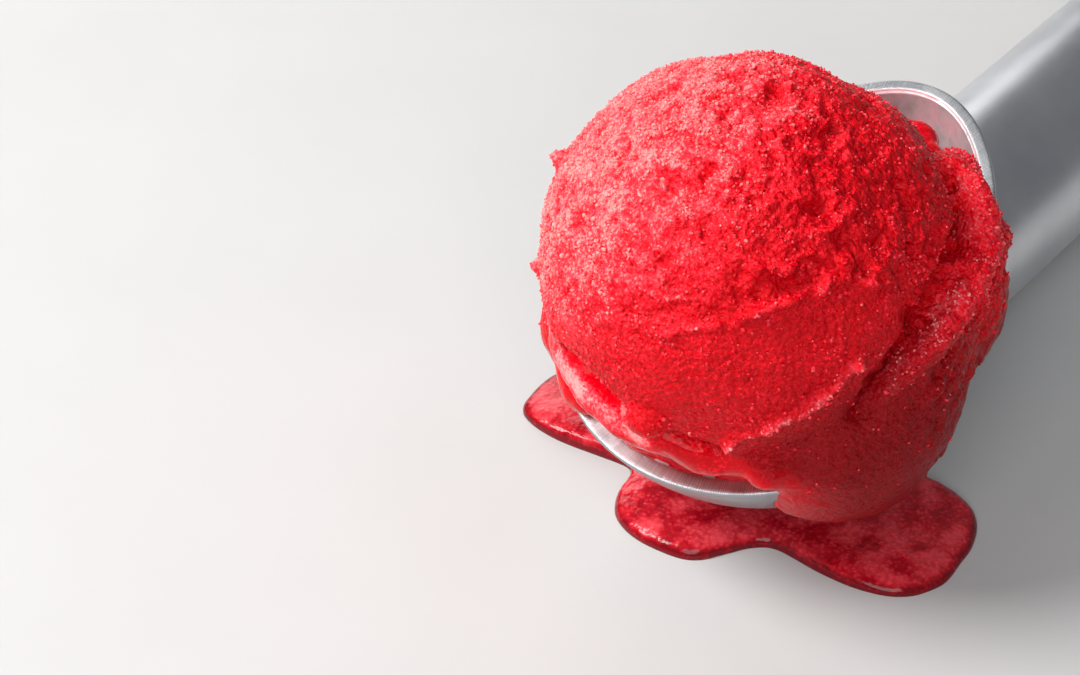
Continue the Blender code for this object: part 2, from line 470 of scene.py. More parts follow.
def grain_ice(settings):
    """Loose grains of ice, as frosty as the sorbet that they lie on, with its painted sheen toward the
    light.
    """
    nodes = Nodes("loose_ice")
    tone = nodes.noise(nodes.place(), 900.0, 1.0)
    white = nodes.math("ADD", nodes.value("frost_and_sheen"), nodes.range(tone, 0.35, 0.65, -0.12, 0.12))
    colour = nodes.ramp(
        white,
        [
            (0.0, settings.sorbet_red),
            (0.45, settings.sorbet_bright),
            (1.0, settings.sorbet_frost_and_sheen),
        ],
    )
    nodes.set(
        Base_Color=colour,
        Roughness=0.26,
        IOR=1.33,
        Subsurface_Weight=0.35,
        Subsurface_Scale=0.001,
        Subsurface_Radius=(1.0, 0.25, 0.2),
    )
    return nodes.material


def melted_ice(settings):
    """Wet melted sorbet: dark and glossy, with a froth of fine pale bubbles."""
    nodes = Nodes("melted_froth")
    place = nodes.place()
    froth = nodes.value("froth")
    cloud = nodes.noise(place, 420.0, 5.0, 0.75)
    bubbles = nodes.add("ShaderNodeTexVoronoi", {"Vector": place, "Scale": 1500.0})
    ring = nodes.range(bubbles.outputs["Distance"], 0.15, 0.6, 0.18, -0.12)
    amount = nodes.math("ADD", froth, nodes.math("ADD", nodes.range(cloud, 0.35, 0.7, -0.25, 0.35), ring))
    colour = nodes.ramp(
        amount,
        [(0.0, settings.melt_deep), (0.45, settings.melt_red), (1.0, settings.melt_froth)],
    )
    height = nodes.math("MULTIPLY", bubbles.outputs["Distance"], -1.0)
    nodes.set(
        Base_Color=colour,
        Roughness=nodes.range(froth, 0.0, 1.0, 0.09, 0.24),
        IOR=1.36,
        Subsurface_Weight=0.2,
        Subsurface_Scale=0.0018,
        Subsurface_Radius=(1.0, 0.15, 0.12),
        Normal=nodes.bump(height, nodes.math("MULTIPLY", froth, 0.5), 0.00018),
    )
    return nodes.material


# Sizes and colours that a user may change


def length_of(name, description, default):
    return FloatProperty(name=name, description=description, default=default, unit="LENGTH")


def colour_of(name, description, default):
    return FloatVectorProperty(name=name, description=description, default=default, subtype="COLOR")


def power_of(name, default):
    return FloatProperty(name=name, description="In watts", default=default, unit="POWER")


class DipperSettings(bpy.types.PropertyGroup):
    half_length: length_of("Rim half length", "Along the handle", 0.0362)
    half_width: length_of("Rim half width", "Across the handle", 0.0261)
    narrowing: FloatProperty(name="Rim narrowing", description="How egg-shaped the rim is", default=0.21)
    depth: length_of("Bowl depth", "Below the rim's middle", 0.0326)
    fullness: FloatProperty(
        name="Fullness", description="0.5 is an ellipsoid, 1 a cone-like bowl", default=0.8
    )
    wall: length_of("Wall", "Thickness of the bowl", 0.0026)
    rounding: length_of("Rim rounding", "Radius of the rim's edges", 0.0004)
    handle_radius: length_of("Handle radius", "Of the round handle", 0.0140)
    nose: length_of("Nose", "Length of the handle's rounded end", 0.0110)
    root: length_of("Root", "Length of the rounded root", 0.0300)
    fillet: length_of("Fillet", "Where the handle meets the bowl", 0.0030)
    metal_light: colour_of("Light metal", "Clean aluminium", (0.74, 0.75, 0.77))
    metal_dark: colour_of("Dull metal", "Dulled aluminium", (0.52, 0.53, 0.56))
    # Painted shade: the dark tone of the bowl's outside.
    bowl_painted_shade: colour_of("Bowl skin", "The bowl's outside", (0.22, 0.22, 0.23))
    metal_gloss: FloatProperty(
        name="Metal roughness", description="Of the satin casting", default=0.33, min=0.05, max=1.0
    )


class SorbetSettings(bpy.types.PropertyGroup):
    ball_radius: length_of("Ball radius", "Of the scooped ball", 0.0273)
    voxel: length_of("Skin detail", "Size of the skin's squares", 0.00031)
    crumb: length_of("Crumb height", "Of the granular skin", 0.00050)
    ledge: length_of("Torn ledges", "Height of the torn ledges", 0.00150)
    grains: IntProperty(name="Loose grains", description="How many lie on the ball", default=9800)
    grain_size: length_of("Grain size", "Radius of a loose grain", 0.00017)
    sorbet_deep: colour_of("Pit red", "In the pits", (0.62, 0.0008, 0.006))
    # Dark syrup red, which the painted shade mixes toward.
    syrup_and_painted_shade: colour_of("Syrup", "Where it has melted", (0.20, 0.0004, 0.0025))
    sorbet_red: colour_of("Sorbet red", "Of the body", (0.93, 0.002, 0.014))
    sorbet_bright: colour_of("Bright red", "Of lit crumbs", (0.97, 0.045, 0.070))
    # The palest pink of the ramp: frosted ice, and the painted sheen on the side toward the light.
    sorbet_frost_and_sheen: colour_of("Frost", "Of the ice on top", (0.99, 0.34, 0.33))


class PuddleSettings(bpy.types.PropertyGroup):
    height: length_of("Height", "Of the pool", 0.0022)
    radius: length_of("Radius", "Of the pool without lobes", 0.0145)
    melt_deep: colour_of("Deep melt", "Where it is clear", (0.19, 0.001, 0.006))
    melt_red: colour_of("Melt", "Of the body", (0.48, 0.004, 0.014))
    melt_froth: colour_of("Froth", "Of the bubbles", (0.80, 0.055, 0.075))


class StageSettings(bpy.types.PropertyGroup):
    floor_colour: colour_of("Floor", "Pale floor", (0.62, 0.615, 0.61))
    key_power: power_of("Key light", 7.5)
    edge_power: power_of("Edge light", 1.9)
    fill_power: power_of("Fill light", 5.8)
    sky: FloatProperty(name="Sky", description="Strength of the soft sky", default=0.22)
    lens: FloatProperty(name="Lens", description="Focal length", default=100.0, unit="CAMERA")


# The dipper


def to_world(places):
    """From the bowl's own axes to the world's."""
    return places @ np.array(RIM_AXES.to_3x3()).T + np.array(BOWL_MIDDLE)


def to_local(places):
    """From the world's axes to the bowl's own."""
    return (places - np.array(BOWL_MIDDLE)) @ np.array(TO_BOWL.to_3x3())


def bowl_places(settings, units):
    """Places points of the unit sphere's lower half on the bowl, in the bowl's own axes."""
    across = units[..., 1] * (1 - settings.narrowing * units[..., 0])
    depth = np.abs(units[..., 2]) ** (2 * settings.fullness)
    return np.stack(
        [units[..., 0] * settings.half_length, across * settings.half_width, -depth * settings.depth],
        -1,
    )


def bowl_inside(settings, places):
    """Above 0 inside the bowl's outer shape and below 0 outside it, in world places."""
    local = to_local(places)
    along = local[..., 0] / settings.half_length
    across = local[..., 1] / settings.half_width / (1 - settings.narrowing * along)
    open_share = 1 - along**2 - across**2
    depth = np.sign(open_share) * np.abs(open_share) ** settings.fullness
    return local[..., 2] + depth * settings.depth


def bowl_slope(settings, places):
    """The gradient of bowl_inside."""
    step = 1e-5
    slopes = []
    for axis in np.eye(3) * step:
        ahead = bowl_inside(settings, places + axis)
        behind = bowl_inside(settings, places - axis)
        slopes.append((ahead - behind) / (2 * step))
    return np.stack(slopes, -1)


def onto_bowl(settings, places):
    """Moves places near the bowl onto its outer surface."""
    for _ in range(6):
        slope = bowl_slope(settings, places)
        steep = np.sum(slope * slope, axis=-1, keepdims=True)
        places = places - bowl_inside(settings, places)[..., None] * slope / steep
    return places


def wall_at(settings, local):
    """The wall's thickness, which is less toward the handle."""
    share = 0.5 - 0.5 * local[..., 0] / settings.half_length
    return settings.wall * (0.70 + 0.30 * np.clip(share, 0, 1))


def wall_depth(settings, places):
    """How far below 0 the bowl's cavity ends: above 0 in the wall, below 0 in the cavity."""
    slope = np.linalg.norm(bowl_slope(settings, places), axis=-1)
    return wall_at(settings, to_local(places)) - bowl_inside(settings, places) / slope


def bowl_rings(settings, steps=208, rows=66):
    """The bowl's outer, rim and inner rings in one run, and how many are outer and rim rings."""
    turns = full_turn(steps)
    fine = np.linspace(0, math.pi / 2, 800)
    profile = np.stack(
        [np.cos(fine) * settings.half_width, np.sin(fine) ** (2 * settings.fullness) * settings.depth]
    )
    length = np.concatenate([[0], np.cumsum(np.linalg.norm(np.diff(profile), axis=0))])
    evenly = np.linspace(length[-1] * 0.992, length[-1] * 0.014, rows)
    latitudes = np.interp(evenly, length, fine)
    grid = np.stack(
        [
            np.cos(latitudes)[:, None] * np.cos(turns),
            np.cos(latitudes)[:, None] * np.sin(turns),
            np.broadcast_to(-np.sin(latitudes)[:, None], (rows, steps)),
        ],
        -1,
    )
    outer = bowl_places(settings, grid)
    world = to_world(outer)
    outward = -unit(bowl_slope(settings, world)) @ np.array(TO_BOWL.to_3x3())
    inner = outer - wall_at(settings, outer)[..., None] * outward
    edge = bowl_places(settings, circle(turns))
    ahead = np.roll(edge, -1, 0) - np.roll(edge, 1, 0)
    across = unit(np.cross(ahead, (0, 0, 1.0)))
    rounding = settings.rounding
    wall = wall_at(settings, edge)[:, None]
    upward = np.array((0, 0, 1.0))
    rings = list(outer)
    rim = []
    for lean in np.linspace(0, math.pi / 2, 5):
        inset = rounding * (1 - math.cos(lean))
        rim.append(edge - across * inset + upward * rounding * (math.sin(lean) - 1))
    for share in np.linspace(0, 1, 5)[1:-1]:
        rim.append(edge - across * (rounding + share * (wall - 2 * rounding)))
    for lean in np.linspace(math.pi / 2, 0, 5):
        inset = wall - rounding * (1 - math.cos(lean))
        rim.append(edge - across * inset + upward * rounding * (math.sin(lean) - 1))
    rings += rim
    rings += list(inner[::-1])
    return [to_world(ring) for ring in rings], len(outer), len(rim)


def handle_place(settings, turns, along):
    """Points on the handle at a distance from the bowl's middle, round its dropping axis."""
    nose = np.clip((along - (BOWL_TO_END - settings.nose)) / settings.nose, 0, 1)
    root = np.clip((HANDLE_START + settings.root - along) / settings.root, 0, 1)
    radius = settings.handle_radius * np.sqrt(np.maximum(1 - nose**2, 0))
    radius = radius * np.sqrt(np.maximum(1 - root**2, 0))
    height = HANDLE_HEIGHT - along * math.tan(HANDLE_DROP)
    x = BOWL_MIDDLE.x + along
    y = BOWL_MIDDLE.y + radius * np.sin(turns)
    z = height + radius * np.cos(turns)
    return np.stack([x, y, z], -1)


def handle_rings(settings, steps=144):
    """The handle from its rounded end to a fillet on the bowl and an open ring in its wall."""
    turns = full_turn(steps)
    reach = np.zeros(steps)
    along = np.linspace(0.050, 0.005, 400)
    for index, turn in enumerate(turns):
        inside = bowl_inside(settings, handle_place(settings, turn, along)) > 0
        reach[index] = along[np.argmax(inside)] if inside.any() else 0.006
    reach = (np.roll(reach, 1) + 2 * reach + np.roll(reach, -1)) / 4
    fillet = settings.fillet
    rings = []
    for lean in np.linspace(0.04, math.pi / 2, 16):
        along = BOWL_TO_END - settings.nose + settings.nose * math.cos(lean)
        rings.append(handle_place(settings, turns, np.full(steps, along)))
    straight = BOWL_TO_END - settings.nose
    for share in np.linspace(0, 1, 46)[1:]:
        along = straight + (reach + fillet - straight) * share
        rings.append(handle_place(settings, turns, along))
    corner = onto_bowl(settings, handle_place(settings, turns, reach))
    outward = -unit(bowl_slope(settings, corner))
    along_edge = unit(np.roll(corner, -1, 0) - np.roll(corner, 1, 0))
    away = unit(np.cross(outward, along_edge))
    away = away * np.sign(np.sum(away * (corner - corner.mean(axis=0))))
    landing = onto_bowl(settings, corner + away * fillet)
    start = rings[-1]
    for share in np.linspace(0, 1, 10)[1:]:
        near, far = (1 - share) ** 2, share**2
        rings.append(near * start + 2 * share * (1 - share) * corner + far * landing)
    buried = 0.0008
    rings.append(landing - buried * outward)
    return rings


class SCOOP_OT_dipper(bpy.types.Operator):
    """Cast the bowl and handle"""

    bl_idname = "sorbet_scoop.dipper"
    bl_label = "Dipper"

    def execute(self, context):
        settings = context.scene.scoop_dipper
        bowl, outer_rows, rim_rows = bowl_rings(settings)
        places, faces = join([loft(bowl), loft(handle_rings(settings)[::-1], close_start=False)])
        places[:, 2] = np.maximum(places[:, 2], 0.0)
        piece = new_piece("dipper_casting", places, faces)
        # Painted shade on the bowl's outside, full at the bowl's far end and fading out toward the handle.
        store(piece.data, "darker_tone", smoothstep(0.010, -0.024, places[:, 0] - BOWL_MIDDLE.x))
        piece.data.materials.append(cast_metal(settings))
        piece.data.materials.append(ground_metal(settings))
        around = len(bowl[0])
        piece.data.materials.append(filmed_metal(settings))
        for row in range(outer_rows + 2, len(bowl) - 1):
            kind = 1 if row < outer_rows + rim_rows - 4 else 2
            for face in piece.data.polygons[row * around : (row + 1) * around]:
                face.material_index = kind
        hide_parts("dipper")
        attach(piece, "root")
        return {"FINISHED"}


# The sorbet


def from_ball(azimuth, elevation, reach):
    """A place at some distance from the ball's middle, from angles in degrees."""
    turn, rise = math.radians(azimuth), math.radians(elevation)
    flat = math.cos(rise)
    ray = Vector((flat * math.cos(turn), flat * math.sin(turn), math.sin(rise)))
    return np.array(BALL_PLACE + reach * ray)


def ball_path(stops, reach, steps=8):
    """A smooth line over the ball through (azimuth, elevation) stops in degrees."""
    return catmull([from_ball(azimuth, elevation, reach) for azimuth, elevation in stops], steps)


def rim_bead(settings, first, last, radius, inset, rise, count=60):
    """A bead of sorbet along the rim between two directions, thinner toward its ends."""
    turns = np.radians(np.linspace(first, last, count))
    edge = bowl_places(settings, circle(turns))
    edge = edge * (1 - inset / np.linalg.norm(edge, axis=1, keepdims=True))
    edge[:, 2] = rise
    share = np.linspace(-1, 1, count)
    swell = 1 + 0.16 * np.sin(turns * 9) + 0.1 * np.sin(turns * 17 + 1)
    return tube(to_world(edge), radius * swell * np.sqrt(1 - 0.85 * share**6))


FOLD = (
    # azimuth, elevation, distance from the ball's middle, radius
    (-20, 1, 0.0320, 0.0026),
    (-27, 8, 0.0305, 0.0032),
    (-36, 15, 0.0290, 0.0038),
    (-46, 19, 0.0278, 0.0041),
    (-54, 13, 0.0272, 0.0042),
    (-62, 7, 0.0266, 0.0043),
    (-76, 4, 0.0260, 0.0044),
    (-91, 1, 0.0256, 0.0044),
    (-103, -4, 0.0250, 0.0042),
    (-112, -12, 0.0246, 0.0038),
    (-121, -21, 0.0242, 0.0030),
)
BLOBS = (
    # place from the bowl's middle, radii
    ((-0.0098, -0.0106, -0.0020), (0.0210, 0.0195, 0.0195)),
    ((-0.0120, -0.0150, -0.0060), (0.0175, 0.0150, 0.0165)),
    ((0.0120, -0.0085, 0.0060), (0.0090, 0.0100, 0.0085)),
    ((0.0030, -0.0135, 0.0010), (0.0155, 0.0145, 0.0150)),
    ((0.0215, -0.0045, 0.0112), (0.0034, 0.0036, 0.0031)),
    ((0.0192, -0.0078, 0.0108), (0.0030, 0.0028, 0.0030)),
    ((0.0165, -0.0062, 0.0098), (0.0052, 0.0046, 0.0046)),
    ((-0.0372, -0.0018, 0.0004), (0.0030, 0.0034, 0.0026)),
    ((-0.0290, -0.0150, -0.0068), (0.0032, 0.0034, 0.0030)),
)
BEADS = (
    # first and last direction, radius, inset, rise
    (-150, -50, 0.0042, 0.0024, 0.0014),
    (98, 157, 0.0041, 0.0024, 0.0014),
    (136, 216, 0.0022, 0.0046, 0.0010),
)
RUNS = (
    # direction, lowest angle below the rim, radii
    (112, 58, (0.0066, 0.0048, 0.0050, 0.0042)),
    (127, 30, (0.0052, 0.0046, 0.0048, 0.0034)),
    (104, 14, (0.0046, 0.0042, 0.0036, 0.0028)),
)
LIP = (
    # azimuth, elevation, distance from the ball's middle, radius
    (132, -14, 0.0240, 0.0032),
    (144, -18, 0.0248, 0.0037),
    (155, -21, 0.0251, 0.0040),
    (166, -24, 0.0252, 0.0041),
    (178, -28, 0.0252, 0.0039),
    (190, -31, 0.0251, 0.0038),
    (202, -34, 0.0249, 0.0040),
    (214, -35, 0.0246, 0.0042),
    (226, -33, 0.0242, 0.0042),
    (240, -31, 0.0236, 0.0036),
)


def filling(dipper):
    """The sorbet inside the bowl, which is pressed against its wall."""
    places, faces = ellipsoid(BOWL_MIDDLE + Vector((-0.0060, 0.0, -0.0080)), (0.026,) * 3, 96)
    for _ in range(6):
        slope = unit(bowl_slope(dipper, places))
        places = places + slope * np.maximum(wall_depth(dipper, places) - 0.0004, 0)[:, None]
    return places, faces


def drip(dipper, direction, lowest, radii, steps=24, sunk=0.0022):
    """A low run of sorbet down the bowl's outside from the rim, partly sunk in the wall."""
    turns = np.radians(direction + 5 * np.sin(np.linspace(0, 3, steps)))
    falls = np.radians(np.linspace(0, lowest, steps))
    flat = np.cos(falls)
    units = np.stack([flat * np.cos(turns), flat * np.sin(turns), -np.sin(falls)], -1)
    places = to_world(bowl_places(dipper, units))
    places = places + sunk * unit(bowl_slope(dipper, places))
    return tube(places, catmull([(radius, 0, 0) for radius in radii], 8)[:steps, 0])


def sorbet_body(dipper, sorbet):
    """The ball, the filling under it and everything that overflows, as overlapping shells."""
    radius = sorbet.ball_radius
    shells = [ellipsoid(BALL_PLACE, (radius, radius, radius), 96), filling(dipper)]
    for place, radii in BLOBS:
        shells.append(ellipsoid(BOWL_MIDDLE + Vector(place), radii))
    for roll in (FOLD, LIP):
        stops = np.array([from_ball(*stop[:3]) for stop in roll])
        thick = catmull([(stop[3], 0, 0) for stop in roll], 8)[:, 0]
        shells.append(tube(catmull(stops, 8), thick))
    shells += [rim_bead(dipper, *bead) for bead in BEADS]
    shells += [drip(dipper, *run) for run in RUNS]
    return join(shells)


def drop_hidden(piece, dipper):
    """Takes away the skin that is buried in the bowl's wall, where nothing shows it."""
    mesh = piece.data
    places = mesh_places(mesh)
    buried = (wall_depth(dipper, places) > 0.0001) & (bowl_inside(dipper, places) > 0.0002)
    buried &= to_local(places)[:, 2] < -0.0035
    work = bmesh.new()
    work.from_mesh(mesh)
    work.verts.ensure_lookup_table()
    gone = [work.verts[index] for index in np.flatnonzero(buried)]
    bmesh.ops.delete(work, geom=gone, context="VERTS")
    work.to_mesh(mesh)
    work.free()


def near(places, stops, reach, width, power=2):
    """How near each place is to a line over the ball: 1 on the line."""
    gap, _ = distance_to_path(places, ball_path(stops, reach))
    return bell(gap, width, power)


def ridge(places, path, width, height, ragged=0.0, seed=1):
    """A raised or sunken line, which may be broken up."""
    gap, along = distance_to_path(places, path)
    fade = smoothstep(0.0, 0.12, along) * smoothstep(1.0, 0.88, along)
    lift = height * bell(gap, width) * fade
    if ragged > 0:
        lift = lift * (1 - ragged + ragged * 2 * np.clip(noise_at(places, 0.0022, seed) + 0.35, 0, 1))
    return lift


PITS = (
    # azimuth, elevation, width, depth
    (-80, 43, 0.0013, 0.0016),
    (-104, 34, 0.0012, 0.0014),
    (-91, 28, 0.0012, 0.0018),
    (-115, 40, 0.0011, 0.0009),
    (-100, 14, 0.0010, 0.0013),
    (-111, -4, 0.0012, 0.0020),
    (-106, -12, 0.0011, 0.0016),
    (144, 79, 0.0010, 0.0010),
    (177, 77, 0.0012, 0.0010),
    (144, 50, 0.0012, 0.0008),
    (-172, 54, 0.0015, 0.0009),
    (177, 47, 0.0012, 0.0008),
    (154, 44, 0.0011, 0.0009),
    (60, 30, 0.0013, 0.0012),
    (20, 35, 0.0012, 0.0012),
    (109, 23, 0.0012, -0.0016),
    (127, -1, 0.0011, -0.0014),
)
SEAM = ((-155, -25), (-148, -16), (-139, -10), (-130, -5), (-121, 3), (-114, 10))
LONG_LEDGE = ((-174, 11), (-163, 17), (-154, 20), (-145, 24), (-136, 26), (-129, 28), (-119, 29), (-106, 26))
LEDGES = (
    # stops, width, height
    (LONG_LEDGE, 0.0008, 0.0013),
    (((-121, 34), (-113, 31), (-103, 27)), 0.0007, 0.0013),
    (((-132, 41), (-120, 42), (-111, 45), (-104, 47)), 0.0008, 0.0011),
    (((179, 40), (-170, 44), (-163, 49), (-156, 53)), 0.0009, 0.0010),
    (((-173, 55), (-168, 59), (-160, 58)), 0.0009, -0.0013),
    (((172, 51), (-174, 50), (-168, 53)), 0.0009, -0.0012),
    (((-146, 52), (-135, 50), (-126, 52)), 0.0008, 0.0010),
    (((-150, 33), (-141, 35), (-133, 34)), 0.0008, 0.0010),
)
SMOOTH_BELOW = (
    # azimuth, highest elevation of the smooth lower dome
    *((-180, 9), (-174, 11), (-163, 17), (-154, 20), (-145, 24), (-136, 26), (-119, 29)),
    *((-106, 26), (-98, 18), (-90, -90), (100, -90), (120, 0), (180, 9)),
)
LIP_TOP = ((140, -8), (150, -10), (158, -13), (166, -16), (185, -20), (200, -24), (207, -26), (222, -30))
LIP_SHINE = ((150, -15), (158, -18), (167, -21), (175, -23), (183, -26))
LIP_GROOVE = ((150, -10), (158, -13), (166, -16), (-175, -20), (-160, -24), (-150, -26))
FLAKE_EDGE = ((20, 42), (-4, 53), (-48, 63), (-80, 59), (-91, 54), (-98, 46))
INNER_FOLD = ((-37, 33), (-42, 28), (-47, 22), (-66, 24), (-82, 23), (-91, 18), (-97, 13))
FOLD_GROOVE = (
    *((-34, 31), (-44, 30), (-53, 23), (-62, 18), (-78, 16)),
    *((-90, 12), (-98, 7), (-106, -1), (-113, -9), (-119, -17)),
)
OUTER_FOLD = ((-46, 24), (-51, 17), (-58, 10), (-74, 7), (-91, 5), (-102, 1), (-106, -7))
BACK_BLOB = np.array(BOWL_MIDDLE + Vector((0.0208, -0.0058, 0.0112)))
# Directions from the ball's middle
TO_ROUGH = (0.50, -0.85, 0.15)
TO_SHELTER = (0.76, -0.30, 0.58)
TO_FLAKE = (-0.72, 0.55, -0.42)
TO_LIGHT = (-0.34, 0.62, 0.66)
TO_SHADE = (-0.18, -0.79, -0.56)


def shape_skin(mesh, sorbet):
    """The larger forms: uneven lumps, the torn flake, the folds, the seam and the lip."""
    places = mesh_places(mesh)
    normals = mesh_normals(mesh)
    reach = sorbet.ball_radius
    lift = 0.00055 * noise_at(places, 0.011, 1) + 0.00030 * noise_at(places, 0.006, 2)
    flake_way = np.array(Vector(TO_FLAKE).normalized())
    on_flake = smoothstep(-0.0004, 0.0012, (places - np.array(BALL_PLACE)) @ flake_way)
    lift += 0.0017 * (on_flake - 0.5) * near(places, FLAKE_EDGE, reach, 0.0055)
    lift += ridge(places, ball_path(SEAM, reach + 0.0006), 0.00085, 0.0023, 0.5, 3)
    lift -= ridge(places, ball_path(LIP_GROOVE, reach), 0.0009, 0.0025)
    lift += ridge(places, ball_path(INNER_FOLD, reach + 0.0012), 0.0011, 0.0021, 0.35, 4)
    lift -= ridge(places, ball_path(FOLD_GROOVE, reach + 0.0010), 0.0016, 0.0052, 0.35, 6)
    lift += ridge(places, ball_path(OUTER_FOLD, reach + 0.0030), 0.0018, 0.0014, 0.2, 5)
    for stops, width, height in LEDGES:
        lift += ridge(places, ball_path(stops, reach + height / 3), width, height, 0.55, 7)
    for azimuth, elevation, width, depth in PITS:
        apart = np.linalg.norm(places - from_ball(azimuth, elevation, reach), axis=1)
        lift -= depth * bell(apart, width)
    move_mesh(mesh, places + normals * lift[:, None])


def crumble_skin(mesh, dipper, sorbet):
    """The granular skin, and then its colours."""
    places = mesh_places(mesh)
    normals = mesh_normals(mesh)
    local = to_local(places)
    turn = np.degrees(np.arctan2(local[:, 1] / dipper.half_width, local[:, 0] / dipper.half_length))
    front = smoothstep(62, 34, np.abs(np.mod(turn, 360) - 174))
    rays = unit(places - np.array(BALL_PLACE))
    rough_side = rays @ unit(np.array(TO_ROUGH))
    azimuth = np.degrees(np.arctan2(rays[:, 1], rays[:, 0]))
    elevation = np.degrees(np.arcsin(rays[:, 2]))
    smooth_top = np.interp(azimuth, *zip(*SMOOTH_BELOW))
    smooth = smoothstep(2.0, -4.0, elevation - smooth_top + 4 * noise_at(places, 0.004, 28))
    lip_top = np.interp(np.mod(azimuth, 360), *zip(*LIP_TOP))
    lip = front * smoothstep(0.5, -3.0, elevation - lip_top + 2.0 * noise_at(places, 0.003, 21))
    back_blob = smoothstep(0.0058, 0.0038, np.linalg.norm(places - BACK_BLOB, axis=1))
    wet = np.maximum(lip, back_blob)
    skirt = smoothstep(0.004, -0.006, local[:, 2]) * (1 - front)
    dry = (1 - wet) * (1 - 0.65 * skirt)
    sheltered = smoothstep(0.66, 0.90, rays @ unit(np.array(TO_SHELTER)))
    rough = 0.55 + 0.55 * smoothstep(-0.35, 0.40, rough_side)
    rough = rough * (1 - 0.78 * smooth) * (1 - 0.65 * sheltered)
    stretched = places * np.array((1.0, 1.0, 1.3))
    warp = 0.0005 * np.stack([noise_at(places, 0.004, seed) for seed in (11, 12, 13)], -1)
    crumbs = 1.00 * np.abs(noise_at(stretched + warp, 0.0040, 14))
    crumbs += 0.45 * np.abs(noise_at(stretched + warp, 0.0019, 15))
    crumbs -= 0.32
    lumps = np.sqrt(1 - np.clip(cells_at(stretched + warp, 0.0023, 29) / 0.8, 0, 1) ** 2) - 0.62
    cells = np.clip(cells_at(places + 0.5 * warp, 0.00085, 22) / 0.75, 0, 1)
    granules = np.sqrt(1 - cells**2) - 0.62
    clumps = smoothstep(-0.15, 0.4, noise_at(places, 0.0052, 23))
    tears = smoothstep(0.16, 0.5, noise_at(stretched + warp, 0.0042, 17)) * (0.3 + 0.7 * clumps)
    slope = (-places[:, 2] * 0.92 - 0.25 * places[:, 0] + 0.25 * places[:, 1]) / 0.0052
    slope += 1.2 * noise_at(places, 0.0085, 18) + 0.30 * noise_at(places, 0.002, 19)
    saw = np.mod(slope, 1.0)
    saw = saw * smoothstep(1.0, 0.86, saw)
    broken = smoothstep(0.0, 0.3, noise_at(places, 0.0055, 20))
    ledges = (saw**3 - 0.25) * broken * smoothstep(-0.20, 0.45, rough_side)
    ledges = ledges * (1 - smooth) * (1 - sheltered)
    lift = sorbet.crumb * (1.4 * crumbs + 0.9 * lumps) * rough * dry
    lift += sorbet.crumb * granules * (0.30 + 0.40 * clumps * (1 - smooth)) * dry
    lift -= 0.00110 * tears * rough * dry
    lift += sorbet.ledge * ledges * dry
    lift += lip * (0.00016 * noise_at(places, 0.0016, 24) + 0.0006 * noise_at(places, 0.0042, 25))
    move_mesh(mesh, places + normals * lift[:, None])
    height = crumbs * 0.7 + lumps * 0.5 + granules * 0.45 - 0.7 * tears
    height = height * (0.4 + 0.6 * np.clip(rough, 0, 1))
    colour_skin(mesh, sorbet.ball_radius, places, height, lip, wet, skirt)


def colour_skin(mesh, reach, places, height, lip, wet, skirt):
    """How frosty, wet and shaded each point of the skin is; the frosty value also holds painted sheen on the
    side toward the light, and the shade value is painted shade.
    """
    rays = unit(places - np.array(BALL_PLACE))
    toward_light = unit(np.array(TO_LIGHT))
    # Painted sheen: paler on the side toward the light, on raised crumbs there and on crumb faces turned to
    # the light.
    lit = smoothstep(0.16, 1.0, rays @ toward_light)
    tilt_to_light = (mesh_normals(mesh) - rays) @ toward_light
    frost_and_sheen = 0.03 + 0.66 * lit + 0.34 * height * (0.5 + lit) + 0.34 * tilt_to_light * (0.4 + lit)
    frost_and_sheen += 0.10 * noise_at(places, 0.007, 26)
    seam = near(places, SEAM, reach + 0.0014, 0.0009)
    frost_and_sheen += 0.60 * seam * (0.8 + noise_at(places, 0.0014, 30))
    ledge = near(places, LONG_LEDGE, reach + 0.0008, 0.0008)
    frost_and_sheen += 0.45 * ledge * (0.4 + noise_at(places, 0.0018, 32))
    # Painted highlight: a pale glossy band along the lip, with paler patches over the lip.
    shine = near(places, LIP_SHINE, reach + 0.0010, 0.0015, 4)
    frost_and_sheen += lip * (0.75 * shine + 0.5 * noise_at(places, 0.0024, 27) - 0.1)
    # Painted light: paler along the crest of the outer fold.
    fold = near(places, OUTER_FOLD, reach + 0.0030, 0.0055)
    frost_and_sheen += fold * (0.20 + 0.20 * noise_at(places, 0.003, 33))
    frost_and_sheen = frost_and_sheen * (1 - 0.6 * skirt)
    store(mesh, "frost_and_sheen", np.clip(frost_and_sheen, 0, 1))
    store(mesh, "wet", np.clip(np.maximum(wet, 0.35 * skirt), 0, 1))
    # Painted shade: the skirt and the side turned from the light, stored as shade.
    away = smoothstep(0.62, 0.98, rays @ unit(np.array(TO_SHADE))) * (1 - lip)
    store(mesh, "shade", np.clip(np.maximum(skirt, away), 0, 1))


def sorbet_skin(context):
    """The finished sorbet in one piece, which its operator then splits."""
    dipper, sorbet = context.scene.scoop_dipper, context.scene.scoop_sorbet
    places, faces = sorbet_body(dipper, sorbet)
    piece = remesh(new_piece("sorbet_ball", places, faces), sorbet.voxel)
    drop_hidden(piece, dipper)
    mesh = piece.data
    edges = mesh_edges(mesh)
    move_mesh(mesh, relax(mesh_places(mesh), edges, 20))
    shape_skin(mesh, sorbet)
    crumble_skin(mesh, dipper, sorbet)
    places = mesh_places(mesh)
    places[:, 2] = np.maximum(places[:, 2], PUDDLE_HIGH.z + 0.0002)
    move_mesh(mesh, places)
    mesh.shade_smooth()
    return piece


DOME_EDGE = (
    # azimuth, lowest elevation of the dome
    *((-180, -19), (-160, -24), (-148, -26), (-130, -22), (-119, -17), (-113, -9), (-106, -1)),
    *((-98, 7), (-90, 12), (-78, 16), (-62, 18), (-53, 23), (-44, 30), (-34, 31), (-10, 10)),
    *((30, -8), (100, -14), (150, -11), (166, -16), (180, -19)),
)


